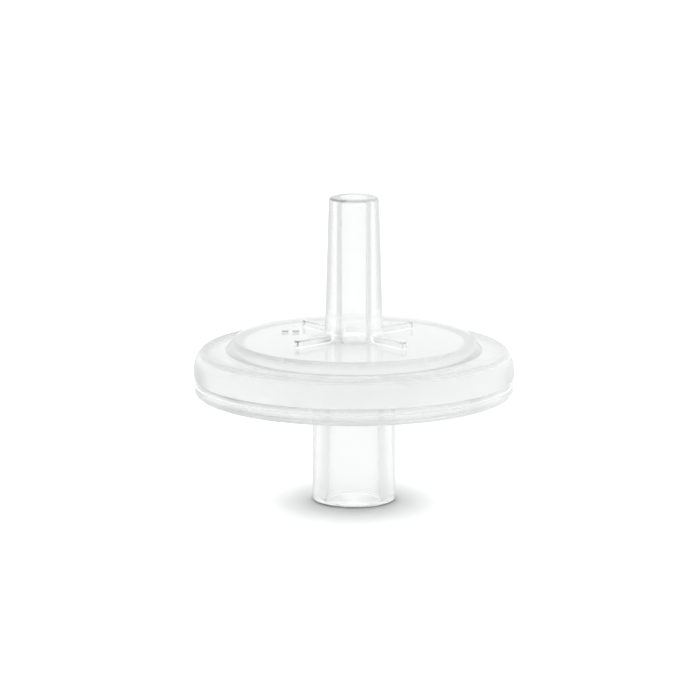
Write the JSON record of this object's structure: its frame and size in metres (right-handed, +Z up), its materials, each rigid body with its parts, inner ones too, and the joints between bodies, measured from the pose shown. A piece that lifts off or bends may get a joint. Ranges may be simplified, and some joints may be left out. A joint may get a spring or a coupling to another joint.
{
  "type": "syringe filter",
  "caption": "Round disc filter with a male luer slip spout above and a female luer hub below, its membrane clamped between two welded clear shells.",
  "frame": {"origin": "centre of the inlet hub's mouth, on the plane that the part stands on", "axes": "+Z up the common axis, from the inlet hub to the outlet spout's tip; -Y towards the viewer, +X to the right"},
  "size_m": [0.0252, 0.0252, 0.0241],
  "materials": {
    "housing_plastic": "natural clear moulded plastic, slightly hazy, glossy outside",
    "membrane_white": "matt white microporous film"
  },
  "bodies": {
    "root": {"outlet_shell": "housing_plastic", "inlet_shell": "housing_plastic", "membrane": "membrane_white"}
  },
  "joints": []
}
